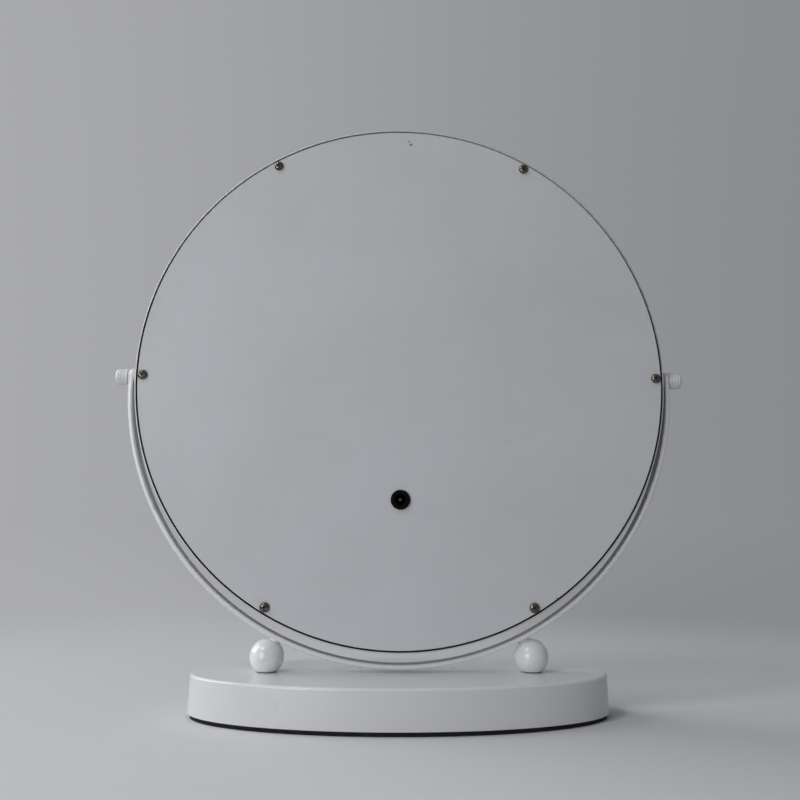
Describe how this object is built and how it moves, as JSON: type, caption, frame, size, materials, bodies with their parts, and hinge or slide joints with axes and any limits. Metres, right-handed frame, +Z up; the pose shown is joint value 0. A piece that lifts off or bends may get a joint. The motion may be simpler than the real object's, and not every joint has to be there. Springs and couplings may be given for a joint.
{
  "type": "lighted makeup mirror",
  "caption": "Round lighted makeup mirror that tilts in a U-shaped bracket on an oval weighted base, with thumb knobs at its pivots and a power inlet in the back panel.",
  "frame": {"origin": "middle of the base's underside, on the table", "axes": "+Z up; X along the pivot axis; +Y out of the mirror's glass side, so -Y faces out of the back panel"},
  "size_m": [0.3306, 0.1032, 0.3379],
  "materials": {
    "gloss_white": "glossy white moulding",
    "white_enamel": "satin white enamel on steel bar",
    "white_coat": "matt white coat on aluminium sheet",
    "nickel": "bright nickel plate",
    "ballast_steel": "plain mild steel",
    "black_rubber": "matt black sheet rubber",
    "black_plastic": "matt black moulding",
    "block_metal": "plain machined aluminium",
    "nylon": "natural nylon",
    "silvered_glass": "silvered float glass",
    "opal": "opal acrylic, satin face",
    "pan_white": "white moulding",
    "foam_tape": "white foam tape",
    "strip_film": "white flexible circuit",
    "chip_yellow": "yellow phosphor on white chips",
    "copper": "bare copper foil",
    "board_green": "green circuit board",
    "chip_black": "black moulded components",
    "contact_brass": "tinned brass contacts",
    "lead_red": "red lead covering",
    "lead_black": "black lead covering",
    "lead_white": "white lead covering"
  },
  "bodies": {
    "stand": {"base_shell": "gloss_white", "base_cover": "black_plastic", "ballast_plate": "ballast_steel", "foot_pad": "black_rubber", "cover_screws": "nickel", "left_ball": "gloss_white", "right_ball": "gloss_white", "ball_screws": "nickel", "ball_washers": "nickel", "stand_bracket": "white_enamel", "bracket_screws": "nickel"},
    "mirror_head": {"rim_hoop": "white_coat", "back_panel": "white_coat", "panel_screws": "nickel", "dc_jack": "black_plastic", "jack_nut": "black_plastic", "panel_posts": "block_metal", "left_pivot_block": "block_metal", "right_pivot_block": "block_metal", "left_pivot_washer": "nylon", "right_pivot_washer": "nylon", "mirror_disc": "silvered_glass", "light_diffuser": "opal", "light_pan": "pan_white", "mirror_tape": "foam_tape", "board_tape": "foam_tape", "led_strip": "strip_film", "led_chips": "chip_yellow", "touch_pad": "copper", "control_board": "board_green", "board_parts": "chip_black", "jack_pin": "contact_brass", "jack_terminals": "contact_brass", "jack_lead_red": "lead_red", "led_lead_red": "lead_red", "jack_lead_black": "lead_black", "led_lead_black": "lead_black", "touch_lead": "lead_white"},
    "left_thumb_knob": {"left_knob": "gloss_white", "left_stud": "nickel"},
    "right_thumb_knob": {"right_knob": "gloss_white", "right_stud": "nickel"}
  },
  "joints": [
    {"name": "head_tilt", "type": "hinge", "parent": "stand", "child": "mirror_head", "pos_m": [0, 0, 0.1854], "axis": [1, 0, 0], "continuous": true},
    {"name": "left_knob_turn", "type": "hinge", "parent": "mirror_head", "child": "left_thumb_knob", "pos_m": [-0.1614, 0, 0.1854], "axis": [-1, 0, 0], "range_deg": [0, 450]},
    {"name": "right_knob_turn", "type": "hinge", "parent": "mirror_head", "child": "right_thumb_knob", "pos_m": [0.1614, 0, 0.1854], "axis": [1, 0, 0], "range_deg": [0, 450]}
  ]
}
